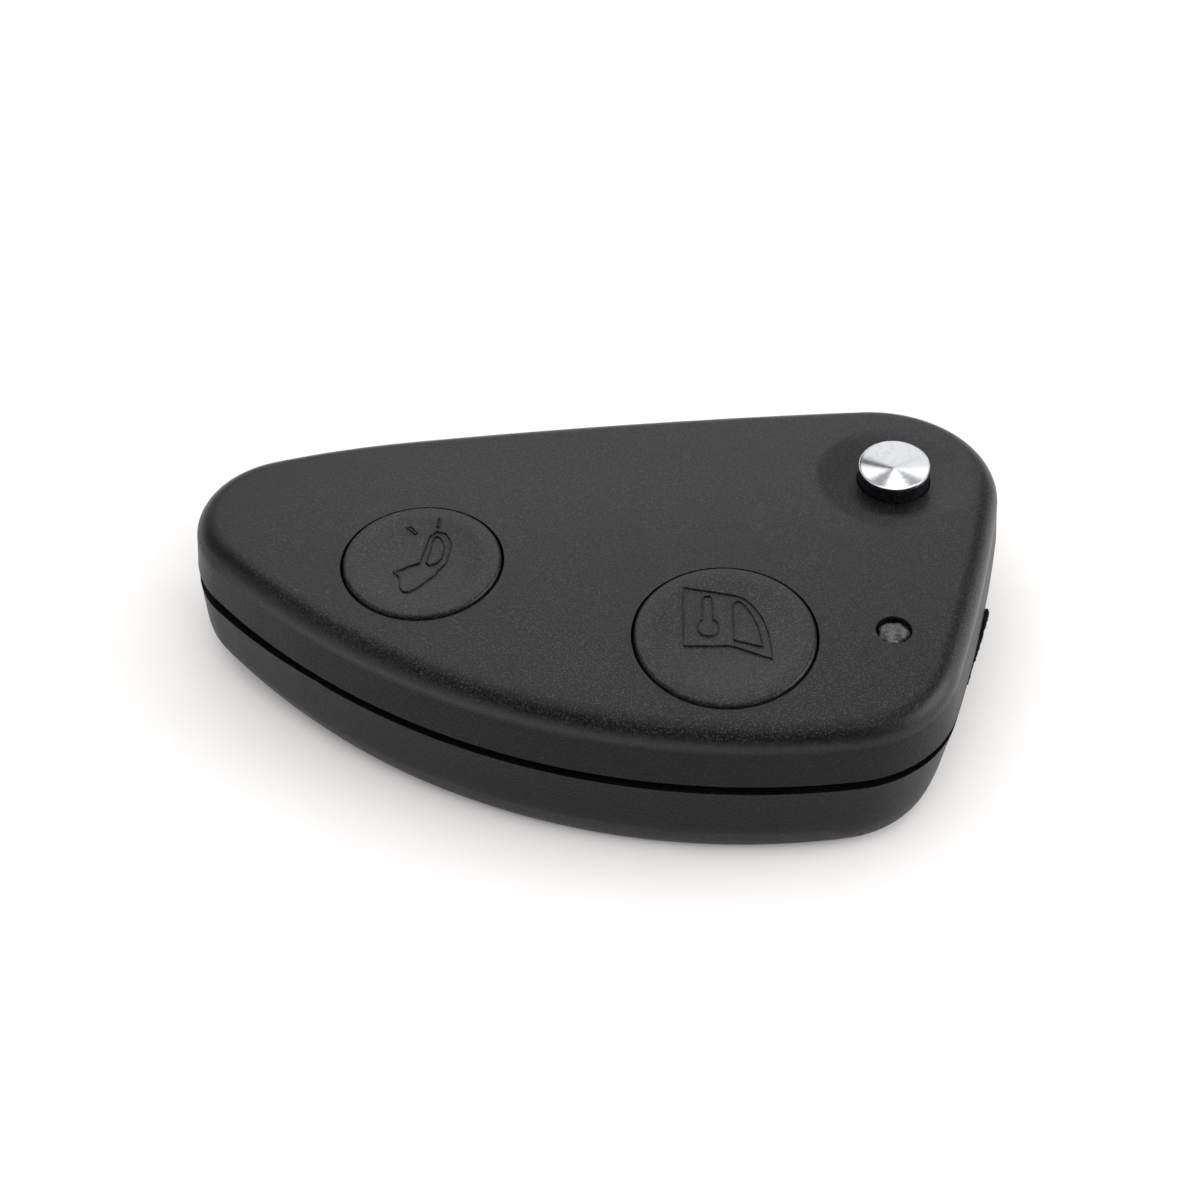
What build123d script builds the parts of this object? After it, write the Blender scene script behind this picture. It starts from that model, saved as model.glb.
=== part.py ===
from build123d import *
import math
import os

# Car key fob with a flip-out blade. Millimetres, +Z up.
# The origin is on the table, under the middle of the fob's box seen from above.
# +X points at the wide end, +Y at the straight far side where the blade folds in.

# Outline seen from above: a chain of tangent arcs and one straight far side
length = 74.0
width = 42.64
tip_radius = 8.89
tip_shoulder_radius = 19.29
tip_shoulder_turn = 98.28
tip_turn = 100.96
far_shoulder_radius = 83.71
hub_corner_radius = 11.31
end_radius = 165.2
belly_corner_radius = 10.99
belly_corner_inset = 17.5
belly_radius = 62.53

# Heights and surfaces of the shells
seam_height = 10.1
seam_gap = 0.55
crown_height = 17.8
crown_x = 6.6
crown_y = -1.2
crown_long_radius = 559.0
crown_cross_radius = 161.5
crown_draft = 2.2
top_edge_radius = 2.2
keel_x = 2.8
keel_y = -3.7
keel_long_radius = 268.6
keel_cross_radius = 299.5
keel_sink = 0.25
keel_draft = 5.3
bottom_edge = 0.8
tip_dip = 0.9
tip_dip_length = 11.0

# Walls and gaps
wall = 1.6
lower_wall = 2.1
rib_wall = 0.9
running_gap = 0.06
part_gap = 0.15
seat_gap = 0.02
overrun = 1.0

# Tongue of the lower shell inside the upper one
tongue_inset = 0.85
tongue_wall = 0.7
tongue_height = 1.4

# Hub of the blade, under the release button
hub_end_inset = 9.83
hub_side_inset = 11.36
hub_radius = 8.0
hub_floor = 3.6
hub_roof = 4.18
hub_edge = 0.4
journal_radius = 5.8
journal_height = 1.1
ring_wall = 1.3
ring_height = 1.2
washer_thickness = 0.4
washer_radius = 7.2
bay_gap = 0.3

# Key blade, folded along the far side
blade_offset = 6.8
blade_width = 7.6
blade_thickness = 2.6
blade_reach_share = 0.7365
blade_drop = 0.3
blade_root = 3.6
blade_shoulder_x = 5.4
blade_shoulder_radius = 2.5
blade_tip_radius = 2.4
tang_inner_radius = 4.6
tang_outer_radius = 7.7
track_width = 2.2
track_depth = 0.7
track_start = 12.0
track_end = 4.0
blade_rib_count = 5
pin_radius = 1.0
pin_x = 2.9
pin_y = 5.75
pin_inset = 0.6

# Release button and its spring
cap_radius = 3.28
cap_gap = 0.12
cap_proud = 1.5
cap_edge = 0.3
flange_radius = 4.2
flange_thickness = 0.9
flange_depth = 2.6
key_reach = 4.9
key_width = 1.8
stem_radius = 2.4
stem_length = 1.6
scoop_radius = 7.4
scoop_depth = 0.45
spring_wire = 0.6
spring_radius = 3.1
spring_turns = 4

# Two buttons on the crown
lock_end_inset = 27.63
lock_side_inset = 11.99
lock_radius = 8.22
trunk_x_share = -0.22527
trunk_y_share = 0.06379
trunk_radius_share = 0.1705
button_gap = 0.13
button_proud = 0.3
button_dish = 0.35
button_rim = 1.3
button_edge = 0.3
button_roof = 1.2
button_wall = 0.9
button_flange = 0.8
button_flange_thickness = 0.8
button_drop = 2.7
button_post_radius = 1.5
guide_wall = 1.0

# Indicator light
led_end_inset = 12.64
led_side_inset = 11.59
led_hole_radius = 1.63
led_radius = 1.5
led_flange = 0.3
led_flange_height = 0.8
led_stand = 2.3
led_recess = 0.6
lead_radius = 0.25
lead_pitch = 1.27
lead_tail = 1.4

# Circuit board and what it carries
board_height = 7.4
board_thickness = 1.0
board_gap = 0.4
board_left_share = -0.3311
standoff_radius = 1.2
switch_size = 5.2
switch_height = 1.8
plunger_radius = 1.3
plunger_height = 0.7
plunger_sink = 0.5
plunger_well = 1.1
chip_length = 6.0
chip_width = 5.0
chip_height = 1.3
chip_x_share = -0.0608
chip_y = 4.0
radio_length = 4.5
radio_width = 3.6
radio_height = 1.1
radio_x_share = -0.0676
radio_y = -6.0
crystal_length = 4.8
crystal_width = 2.4
crystal_height = 1.2
crystal_corner = 1.1
crystal_x_share = 0.0473
crystal_y = 5.2
passive_length = 1.6
passive_width = 0.8
passive_height = 0.6
passive_pitch = 2.2
passive_count = 6
passive_x_share = -0.1486
passive_y = -4.2
antenna_wire = 0.8
antenna_length = 8.0
antenna_rise = 1.4
antenna_bend = 0.8
antenna_x_share = -0.2568
antenna_y = -4.0
antenna_turn = -35.0

# Coin cell and its contacts
cell_radius = 10.0
cell_height = 3.2
cell_edge = 0.3
cell_step = 0.35
cell_step_inset = 1.1
cell_x_share = 0.0068
cell_y_share = -0.12
cell_floor = 2.4
cell_rib_height = 2.2
contact_sheet = 0.25
contact_width = 4.0
contact_foot = 3.0

# Transponder capsule and the case screw
capsule_radius = 1.05
capsule_length = 12.0
capsule_end = 0.7
capsule_x_share = -0.2635
capsule_inset = 17.32
capsule_height = 4.0
cradle_wall = 1.0
cradle_spread = 3.5
screw_x_share = -0.39865
screw_inset = 14.92
screw_radius = 1.1
screw_head_radius = 2.0
screw_head_height = 1.3
screw_length = 9.0
screw_recess = 0.3
screw_slot_radius = 0.8
screw_slot_depth = 0.7
screw_boss_radius = 2.8

# Levels worked out from the sizes above
rim_height = seam_height - seam_gap
blade_top = seam_height - blade_drop
blade_bottom = blade_top - blade_thickness
ring_top = hub_floor + ring_height
hub_bottom = ring_top + washer_thickness + running_gap
hub_top = crown_height - hub_roof
board_top = board_height + board_thickness
switch_top = board_top + switch_height
plunger_top = switch_top + plunger_height
flange_top = hub_top - flange_depth
flange_bottom = flange_top - flange_thickness

# Places that follow the length and the width of the fob
far_y = width / 2
end_x = length / 2
hub_x = end_x - hub_end_inset
hub_y = far_y - hub_side_inset
blade_reach = blade_reach_share * length
belly_corner_x = end_x - belly_corner_inset
lock_x = end_x - lock_end_inset
lock_y = lock_side_inset - far_y
trunk_x = trunk_x_share * length
trunk_y = trunk_y_share * width
trunk_radius = trunk_radius_share * width
led_x = end_x - led_end_inset
led_y = led_side_inset - far_y
board_left = board_left_share * length
chip_x = chip_x_share * length
radio_x = radio_x_share * length
crystal_x = crystal_x_share * length
passive_x = passive_x_share * length
antenna_x = antenna_x_share * length
cell_x = cell_x_share * length
cell_y = cell_y_share * width
capsule_x = capsule_x_share * length
capsule_y = far_y - capsule_inset
screw_x = screw_x_share * length
screw_y = far_y - screw_inset

# Places of the crown's and the keel's sections, as shares of the length and the width
section_shares = (-0.6, -0.3, 0.0, 0.3, 0.6)


def crown_level(x, y, drop=0.0):
    """Height of the upper shell's crown, lowered by drop, over a point."""
    rise = math.sqrt((crown_cross_radius - drop) ** 2 - (y - crown_y) ** 2)
    swing = crown_long_radius - crown_cross_radius + rise
    axis_height = crown_height - crown_long_radius
    return axis_height + math.sqrt(swing ** 2 - (x - crown_x) ** 2)


def keel_level(x, y, lift=0.0):
    """Height of the lower shell's keel, raised by lift, over a point."""
    rise = math.sqrt((keel_cross_radius - lift) ** 2 - (y - keel_y) ** 2)
    swing = keel_long_radius - keel_cross_radius + rise
    return keel_long_radius - keel_sink - math.sqrt(swing ** 2 - (x - keel_x) ** 2)


def turned(centre, radius, angle):
    """Point on a circle at an angle in degrees."""
    turn = math.radians(angle)
    return (centre[0] + radius * math.cos(turn), centre[1] + radius * math.sin(turn))


def heading(start, end):
    """Angle in degrees of the line from start to end."""
    return math.degrees(math.atan2(end[1] - start[1], end[0] - start[0]))


def arc(centre, radius, start, end):
    """Arc about a centre from one angle to another, in degrees."""
    middle = turned(centre, radius, (start + end) / 2)
    return ThreePointArc(turned(centre, radius, start), middle, turned(centre, radius, end))


def outline_centres():
    """Centres of the outline's arcs, each tangent to its neighbours."""
    hub = (end_x - hub_corner_radius, far_y - hub_corner_radius)
    tip_x = tip_radius - end_x
    step = tip_shoulder_radius - tip_radius
    shoulder_x = tip_x - step * math.cos(math.radians(tip_turn))
    reach = far_shoulder_radius - tip_shoulder_radius
    far_x = shoulder_x - reach * math.cos(math.radians(tip_shoulder_turn))
    far = (far_x, far_y - far_shoulder_radius)
    shoulder = (shoulder_x, far[1] + reach * math.sin(math.radians(tip_shoulder_turn)))
    tip = (tip_x, shoulder[1] + step * math.sin(math.radians(tip_turn)))
    belly_y = belly_radius - width / 2
    belly_reach = math.sqrt((belly_radius - tip_radius) ** 2 - (belly_y - tip[1]) ** 2)
    belly = (tip_x + belly_reach, belly_y)
    corner_span = belly_radius - belly_corner_radius
    corner_fall = math.sqrt(corner_span ** 2 - (belly_corner_x - belly[0]) ** 2)
    corner = (belly_corner_x, belly_y - corner_fall)
    end = crossing(corner, end_radius - belly_corner_radius, hub, end_radius - hub_corner_radius)
    return hub, far, shoulder, tip, belly, corner, end


def crossing(first, first_radius, second, second_radius):
    """Left of the two points where circles about two centres cross."""
    gap = math.dist(first, second)
    along = (first_radius ** 2 - second_radius ** 2 + gap ** 2) / (2 * gap)
    across = math.sqrt(first_radius ** 2 - along ** 2)
    x_step = (second[0] - first[0]) / gap
    y_step = (second[1] - first[1]) / gap
    return (first[0] + along * x_step - across * y_step, first[1] + along * y_step + across * x_step)


def outline(inset=0.0, level=0.0):
    """Face inside the fob's outline, drawn in by inset, at a level."""
    hub, far, shoulder, tip, belly, corner, end = outline_centres()
    belly_start = heading(belly, tip)
    belly_end = heading(belly, corner)
    corner_end = heading(end, corner)
    end_end = heading(end, hub)
    edges = [
        arc(belly, belly_radius - inset, belly_start, belly_end),
        arc(corner, belly_corner_radius - inset, belly_end, corner_end),
        arc(end, end_radius - inset, corner_end, end_end),
        arc(hub, hub_corner_radius - inset, end_end, 90),
        Line(turned(hub, hub_corner_radius - inset, 90), turned(far, far_shoulder_radius - inset, 90)),
        arc(far, far_shoulder_radius - inset, 90, tip_shoulder_turn),
        arc(shoulder, tip_shoulder_radius - inset, tip_shoulder_turn, tip_turn),
        arc(tip, tip_radius - inset, tip_turn, belly_start + 360),
    ]
    return Pos(0, 0, level) * make_face(edges)


def curved_tool(level, base):
    """Solid between a flat base and a surface, lofted through even sections."""
    reach = section_shares[-1] * width
    sections = []
    for share in section_shares:
        x = share * length
        ends = ((-reach, level(x, -reach)), (reach, level(x, reach)))
        curve = ThreePointArc(ends[0], (0, level(x, 0)), ends[1])
        sides = Polyline(ends[1], (reach, base), (-reach, base), ends[0])
        sections.append(Plane.YZ.offset(x) * make_face([curve, sides]))
    return loft(sections)


def crown_tool(drop=0.0):
    """Everything under the crown, lowered by drop, down to below the seam."""
    return curved_tool(lambda x, y: crown_level(x, y, drop), seam_height - crown_height)


def keel_tool(lift=0.0):
    """Everything above the keel, raised by lift, up to above the crown."""
    return curved_tool(lambda x, y: keel_level(x, y, lift), 2 * crown_height)


def column(x, y, radius, low, high):
    """Upright cylinder between two levels."""
    return Pos(x, y, low) * extrude(Circle(radius), high - low)


def tube(x, y, outer, inner, low, high):
    """Upright ring between two levels."""
    return Pos(x, y, low) * extrude(Circle(outer) - Circle(inner), high - low)


def block(x_low, x_high, y_low, y_high, low, high):
    """Upright box between six faces."""
    face = Rectangle(x_high - x_low, y_high - y_low, align=Align.MIN)
    return Pos(x_low, y_low, low) * extrude(face, high - low)


def bay_face(grow=0.0):
    """Room that the hub and the blade need, seen from above."""
    left = hub_x - blade_reach - bay_gap - grow
    inner = hub_y + blade_offset - blade_width / 2 - bay_gap - grow
    outer = hub_y - blade_offset - blade_width / 2 - bay_gap - grow
    far = far_y + overrun
    right = end_x + overrun
    folded = Pos(left, inner) * Rectangle(hub_x - left, far - inner, align=Align.MIN)
    opened = Pos(hub_x, outer) * Rectangle(right - hub_x, far - outer, align=Align.MIN)
    barrel = Pos(hub_x, hub_y) * Circle(hub_radius + bay_gap + grow)
    return folded + opened + barrel


def upper_blank():
    """Outer form of the upper shell: drafted wall, crown and rounded edge."""
    height = crown_height + overrun - seam_height
    form = extrude(outline(level=seam_height), height, taper=crown_draft) & crown_tool()
    edges = form.edges().filter_by(lambda e: e.bounding_box().min.Z > seam_height + overrun)
    return fillet(edges, top_edge_radius)


def upper_room(inset, drop):
    """Space inside the upper shell at a distance from its wall and crown."""
    height = crown_height + 2 * overrun - seam_height
    return extrude(outline(inset, seam_height - overrun), height) & crown_tool(drop)


def button_level(x, y):
    """Flat underside of the guide ring that stops a button's flange."""
    return crown_level(x, y) - button_drop


def upper_shell():
    shell = upper_blank() - upper_room(wall, wall)
    inside = upper_room(wall / 2, wall / 2)
    added = upper_ribs() & inside
    for x, y, radius in ((lock_x, lock_y, lock_radius), (trunk_x, trunk_y, trunk_radius)):
        hole = radius + button_gap
        added += tube(x, y, hole + guide_wall, hole, button_level(x, y), crown_height) & inside
    added += tube(hub_x, hub_y, journal_radius + running_gap + ring_wall,
                  journal_radius + running_gap, hub_top + part_gap, crown_height) & inside
    added += column(screw_x, screw_y, screw_boss_radius, rim_height + part_gap, crown_height) & inside
    shell += added
    for cut in [tongue_rebate(), *upper_openings()]:
        shell -= cut
    return shell


def upper_ribs():
    """Ribs that hang from the roof over the folded blade."""
    start = hub_x - blade_reach + blade_tip_radius
    pitch = (blade_reach - blade_tip_radius - hub_radius - 2 * rib_wall) / blade_rib_count
    inner = hub_y + blade_offset - blade_width / 2
    ribs = []
    for index in range(blade_rib_count):
        x = start + index * pitch
        ribs.append(block(x, x + rib_wall, inner, far_y, seam_height, crown_height))
    return Part() + ribs


def tongue_rebate():
    """Step inside the upper shell's wall that takes the tongue."""
    height = tongue_height - seam_gap + part_gap
    outer = outline(tongue_inset - part_gap, seam_height - overrun)
    inner = outline(wall + part_gap, seam_height - overrun)
    return extrude(outer - inner, height + overrun)


def upper_openings():
    """Holes for the buttons, the cap, the light and the screw, and the scoop."""
    top = crown_height + overrun
    return [
        column(lock_x, lock_y, lock_radius + button_gap, rim_height, top),
        column(trunk_x, trunk_y, trunk_radius + button_gap, rim_height, top),
        column(hub_x, hub_y, cap_radius + cap_gap, rim_height, top),
        dish(hub_x, hub_y, scoop_radius, scoop_depth, 0),
        column(led_x, led_y, led_hole_radius, rim_height, top),
        column(screw_x, screw_y, screw_radius + seat_gap, rim_height, screw_top() + part_gap),
    ]


def lower_blank():
    """Outer form of the lower shell: drafted wall, keel, chamfered edge and falling tip."""
    wall_form = extrude(outline(level=rim_height), rim_height, dir=(0, 0, -1), taper=keel_draft)
    form = wall_form & keel_tool()
    low = keel_sink / 2
    high = rim_height - overrun
    edges = form.edges().filter_by(lambda e: e.bounding_box().min.Z > low and e.bounding_box().max.Z < high)
    return chamfer(edges, bottom_edge) - tip_wedge()


def tip_wedge():
    """Wedge off the lower shell's rim, so that the seam opens towards the tip."""
    face = Polygon((-end_x, rim_height - tip_dip), (tip_dip_length - end_x, rim_height),
                   (-end_x, rim_height + overrun), align=None)
    return Pos(0, width, 0) * extrude(Plane.XZ * face, 2 * width)


def lower_room(inset, lift):
    """Space inside the lower shell at a distance from its wall and keel."""
    return extrude(outline(inset), seam_height + tongue_height) & keel_tool(lift)


def lower_shell():
    shell = lower_blank() - lower_room(lower_wall, wall)
    shell -= column(hub_x, hub_y, hub_radius + bay_gap, ring_top, seam_height)
    inside = lower_room(lower_wall - wall / 2, wall / 2)
    shell += lower_fittings() & inside
    shell += tongue()
    bay_top = rim_height + tongue_height + overrun
    shell -= Pos(0, 0, blade_bottom - bay_gap) * extrude(bay_face(), bay_top)
    shell -= screw_hole()
    return shell


def tongue():
    """Thin lip round the rim that the upper shell slips over."""
    low = rim_height - overrun
    ring = outline(tongue_inset, low) - outline(tongue_inset + tongue_wall, low)
    return extrude(ring, tongue_height + overrun)


def lower_fittings():
    """Partition, ribs, bosses and seats that stand on the lower shell's floor."""
    partition = extrude(bay_face(rib_wall) - bay_face(), rim_height)
    fittings = partition & extrude(outline(), rim_height)
    fittings += column(hub_x, hub_y, hub_radius + bay_gap + rib_wall, 0, hub_floor)
    fittings += tube(hub_x, hub_y, journal_radius + running_gap + ring_wall,
                     journal_radius + running_gap, 0, ring_top)
    fittings += column(hub_x, hub_y, spring_radius - spring_wire, 0, hub_floor + spring_wire)
    fittings += lower_ribs()
    fittings += column(screw_x, screw_y, screw_boss_radius, 0, rim_height)
    for x, y in standoffs():
        fittings += column(x, y, standoff_radius, 0, board_height)
    fittings += cell_seat() + capsule_cradle()
    return fittings


def lower_ribs():
    """Ribs across the bay, under the folded blade."""
    start = hub_x - blade_reach + blade_tip_radius
    pitch = (blade_reach - blade_tip_radius - hub_radius - 2 * rib_wall) / blade_rib_count
    inner = hub_y + blade_offset - blade_width / 2 - bay_gap
    ribs = []
    for index in range(blade_rib_count):
        x = start + index * pitch
        ribs.append(block(x, x + rib_wall, inner, far_y, 0, blade_bottom - bay_gap))
    return Part() + ribs


def standoffs():
    """Places of the four posts under the circuit board."""
    right = cell_x + cell_radius + 2 * standoff_radius
    low = lock_y - lock_radius / 2
    left = cell_x - cell_radius - 2 * standoff_radius
    return ((right, low), (right, hub_y - hub_radius / 2), (left, cell_y), (left, trunk_y + trunk_radius))


def cell_seat():
    """Ring that holds the coin cell, open where the lower contact passes."""
    ring = tube(cell_x, cell_y, cell_radius + part_gap + rib_wall, cell_radius + part_gap,
                0, cell_floor + cell_rib_height)
    pad = column(cell_x, cell_y, cell_radius - cell_step_inset, 0, cell_floor - contact_sheet)
    gate = block(cell_x - contact_width, cell_x + contact_width, cell_y, cell_y + 2 * cell_radius,
                 0, cell_floor + cell_rib_height + overrun)
    return ring - gate + pad


def capsule_cradle():
    """Two forked ribs that hold the transponder capsule."""
    ribs = []
    for side in (-1, 1):
        x = capsule_x + side * cradle_spread
        ribs.append(block(x - cradle_wall / 2, x + cradle_wall / 2, capsule_y - 2 * capsule_radius,
                          capsule_y + 2 * capsule_radius, 0, capsule_height))
    groove = Pos(capsule_x, capsule_y, capsule_height) * Rot(0, 90, 0) * Cylinder(
        capsule_radius + seat_gap, capsule_length)
    return Part() + ribs - groove


def screw_seat():
    """Level of the shoulder under the screw's head."""
    return keel_level(screw_x, screw_y) + screw_recess + screw_head_height


def screw_top():
    return screw_seat() + screw_length


def screw_hole():
    """Counterbored hole for the case screw, from below."""
    head = column(screw_x, screw_y, screw_head_radius + part_gap, -overrun, screw_seat())
    shaft = column(screw_x, screw_y, screw_radius + part_gap, 0, rim_height + overrun)
    return head + shaft


def button(x, y, radius):
    """Hollow cap that follows the crown, with a flange and a post."""
    ledge = button_level(x, y) - running_gap
    foot = ledge - button_flange_thickness
    cap = column(x, y, radius, foot, crown_height + overrun) & crown_tool(-button_proud)
    top = cap.edges().filter_by(lambda e: e.bounding_box().min.Z > ledge + overrun)
    cap = chamfer(top, button_edge)
    hollow = column(x, y, radius - button_wall, foot - overrun, crown_height)
    cap -= hollow & crown_tool(button_roof)
    cap -= dish(x, y, radius - button_rim, button_dish, button_proud)
    cap += tube(x, y, radius + button_flange, radius - button_wall, foot, ledge)
    post = column(x, y, button_post_radius, plunger_top, crown_height)
    return cap + (post & crown_tool(button_roof / 2))


def dish(x, y, radius, depth, proud):
    """Shallow ball-shaped hollow in a face that stands proud of the crown over a point."""
    ball = (radius ** 2 + depth ** 2) / (2 * depth)
    lean = Vector((x - crown_x) / crown_long_radius, (y - crown_y) / crown_cross_radius, 1).normalized()
    centre = Vector(x, y, crown_level(x, y)) + lean * (ball + proud - depth)
    return Pos(centre.X, centre.Y, centre.Z) * Sphere(ball)


def tact_switch(x, y):
    """Square switch body with a round well for its plunger."""
    low = board_top
    body = block(x - switch_size / 2, x + switch_size / 2, y - switch_size / 2, y + switch_size / 2,
                 low, switch_top)
    body = chamfer(body.edges().filter_by(Axis.Z), part_gap * 2)
    return body - column(x, y, plunger_radius + running_gap, switch_top - plunger_well, switch_top + overrun)


def plunger(x, y):
    return column(x, y, plunger_radius, switch_top - plunger_sink, plunger_top)


def release_button():
    """Round cap with a flange, two keys and a spring stem."""
    high = crown_level(hub_x, hub_y) + cap_proud
    cap = column(hub_x, hub_y, cap_radius, flange_bottom, high)
    top = cap.edges().sort_by(Axis.Z)[-1]
    cap = chamfer(top, cap_edge)
    flange = column(hub_x, hub_y, flange_radius, flange_bottom, flange_top)
    keys = block(hub_x - key_reach, hub_x + key_reach, hub_y - key_width / 2, hub_y + key_width / 2,
                 flange_bottom, flange_top)
    stem = column(hub_x, hub_y, stem_radius, flange_bottom - stem_length, flange_bottom)
    return cap + flange + keys + stem


def blade_hub():
    """Stepped barrel with journals, a keyed bore and a slot for the tang."""
    barrel = column(hub_x, hub_y, hub_radius, hub_bottom, hub_top)
    barrel = chamfer(barrel.edges().filter_by(GeomType.CIRCLE), hub_edge)
    low = hub_floor + part_gap
    barrel += column(hub_x, hub_y, journal_radius, low, hub_top + journal_height)
    barrel -= column(hub_x, hub_y, cap_radius + running_gap, 0, crown_height)
    barrel -= column(hub_x, hub_y, flange_radius + running_gap, 0, flange_top)
    reach = key_reach + running_gap
    half = key_width / 2 + running_gap
    barrel -= block(hub_x - reach, hub_x + reach, hub_y - half, hub_y + half, 0, flange_top)
    slot = extrude(blade_face(seat_gap), blade_thickness + 2 * seat_gap)
    barrel -= Pos(0, 0, blade_bottom - seat_gap) * slot
    return barrel - pin_hole(seat_gap)


def pin_hole(grow):
    """Pin through the hub and the tang, grown for its hole."""
    return column(hub_x - pin_x, hub_y + pin_y, pin_radius + grow, hub_bottom + pin_inset, hub_top + grow)


def blade_face(grow=0.0):
    """Blade seen from above: a strip that narrows to a tang inside the hub."""
    left = hub_x - blade_reach
    inner = hub_y + blade_offset - blade_width / 2 - grow
    strip_width = blade_width + 2 * grow
    shoulder = hub_x - blade_shoulder_x
    strip = Pos(left, inner) * Rectangle(shoulder - left, strip_width, align=Align.MIN)
    ends = strip.vertices().group_by(Axis.X)
    strip = fillet(ends[0], blade_tip_radius)
    corner = strip.vertices().group_by(Axis.X)[-1].sort_by(Axis.Y)[-1]
    strip = fillet(corner, blade_shoulder_radius)
    tang = Pos(shoulder - blade_shoulder_radius, inner) * Rectangle(
        blade_shoulder_x + blade_shoulder_radius + blade_root + grow, strip_width, align=Align.MIN)
    tang = tang & (Pos(hub_x, hub_y) * Circle(tang_outer_radius + grow))
    hole = Pos(hub_x, hub_y) * Circle(tang_inner_radius - grow)
    return strip + (tang - hole)


def key_blade():
    """Flat steel blade with a milled track on both faces."""
    blade = Pos(0, 0, blade_bottom) * extrude(blade_face(), blade_thickness)
    start = hub_x - track_start
    end = hub_x - blade_reach + track_end
    middle = hub_y + blade_offset
    for low in (blade_bottom - overrun, blade_top - track_depth):
        track = block(end, start, middle - track_width / 2, middle + track_width / 2,
                      low, low + track_depth + overrun)
        blade -= fillet(track.edges().filter_by(Axis.Z), track_width / 2 - seat_gap)
    return blade - pin_hole(seat_gap)


def blade_pin():
    return pin_hole(0)


def flip_spring():
    """Flat-wire coil between the floor and the release button's flange."""
    low = hub_floor + spring_wire / 2
    high = flange_bottom - spring_wire / 2 - part_gap
    pitch = (high - low) / spring_turns
    path = Helix(pitch, high - low, spring_radius)
    section = Plane(path @ 0, x_dir=(1, 0, 0), z_dir=path % 0) * Rectangle(spring_wire, spring_wire)
    return Pos(hub_x, hub_y, low) * sweep(section, path=path, is_frenet=True)


def hub_washer():
    return tube(hub_x, hub_y, washer_radius, journal_radius + running_gap, ring_top,
                ring_top + washer_thickness)


def circuit_board():
    """Board that fills the room beside the bay, on its standoffs."""
    gap = lower_wall + board_gap
    face = outline(gap) - bay_face(rib_wall + board_gap)
    keep = Pos(board_left, -width) * Rectangle(length, 2 * width, align=Align.MIN)
    board = Pos(0, 0, board_height) * extrude(face & keep, board_thickness)
    for side in (-1, 1):
        x = led_x + side * lead_pitch
        board -= column(x, led_y, lead_radius + seat_gap, 0, crown_height)
    return board


def chip(x, y, long, wide, high):
    """Moulded chip body standing on the board."""
    body = block(x - long / 2, x + long / 2, y - wide / 2, y + wide / 2, board_top, board_top + high)
    return chamfer(body.faces().sort_by(Axis.Z)[-1].edges(), part_gap)


def crystal():
    """Can of the crystal, with round ends."""
    face = RectangleRounded(crystal_length, crystal_width, crystal_corner)
    can = extrude(face, crystal_height)
    return Pos(crystal_x, crystal_y, board_top) * chamfer(can.faces().sort_by(Axis.Z)[-1].edges(), part_gap)


def passives():
    """Row of small resistors and capacitors."""
    row = []
    for index in range(passive_count):
        y = passive_y + index * passive_pitch
        row.append(block(passive_x, passive_x + passive_length, y, y + passive_width,
                         board_top, board_top + passive_height))
    return Compound(children=row)


def loop_antenna():
    """Stamped strip that stands on the board like a staple."""
    half = antenna_length / 2
    level = board_top + antenna_rise
    corners = [(-half, 0, board_top), (-half, 0, level), (half, 0, level), (half, 0, board_top)]
    path = FilletPolyline(*corners, radius=antenna_bend)
    section = Plane(path @ 0, z_dir=path % 0) * Rectangle(antenna_wire, antenna_wire)
    return Pos(antenna_x, antenna_y) * Rot(0, 0, antenna_turn) * sweep(section, path=path)


def led_top():
    return crown_level(led_x, led_y) - led_recess


def led():
    """Clear light with a domed top and a flange."""
    low = board_top + led_stand
    body = column(led_x, led_y, led_radius, low, led_top() - led_radius)
    dome = Pos(led_x, led_y, led_top() - led_radius) * Sphere(led_radius)
    return body + dome + column(led_x, led_y, led_radius + led_flange, low, low + led_flange_height)


def led_leads():
    """Two wires from the light down through the board."""
    wires = []
    for side in (-1, 1):
        x = led_x + side * lead_pitch
        wires.append(column(x, led_y, lead_radius, board_height - lead_tail, board_top + led_stand))
    return Compound(children=wires)


def coin_cell():
    """Flat round cell with a step at its lower edge."""
    step = column(cell_x, cell_y, cell_radius - cell_step_inset, cell_floor, cell_floor + cell_step)
    can = column(cell_x, cell_y, cell_radius, cell_floor + cell_step, cell_floor + cell_height)
    top = can.edges().sort_by(Axis.Z)[-1]
    return chamfer(top, cell_edge) + step


def cell_contact_positive():
    """Spring strip from the board down onto the top of the cell."""
    low = cell_floor + cell_height
    foot = cell_y + contact_foot
    bend = foot + board_height - low
    face = Polygon((cell_y, low), (foot, low), (bend, board_height - contact_sheet),
                   (bend + contact_foot, board_height - contact_sheet), (bend + contact_foot, board_height),
                   (bend - contact_sheet / 2, board_height), (foot - contact_sheet / 2, low + contact_sheet),
                   (cell_y, low + contact_sheet), align=None)
    return Pos(cell_x - contact_width / 2, 0, 0) * extrude(Plane.YZ * face, contact_width)


def cell_contact_negative():
    """Strip under the cell that climbs beside it to the board."""
    low = cell_floor - contact_sheet
    side = cell_y + cell_radius + 2 * part_gap
    face = Polygon((cell_y, low), (side + contact_sheet, low), (side + contact_sheet, board_height),
                   (side, board_height), (side, cell_floor), (cell_y, cell_floor), align=None)
    return Pos(cell_x - contact_width / 2, 0, 0) * extrude(Plane.YZ * face, contact_width)


def transponder_capsule():
    """Sealed glass tube with tapered ends."""
    body = Rot(0, 90, 0) * Cylinder(capsule_radius, capsule_length)
    body = chamfer(body.edges().filter_by(GeomType.CIRCLE), capsule_end)
    return Pos(capsule_x, capsule_y, capsule_height) * body


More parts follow.
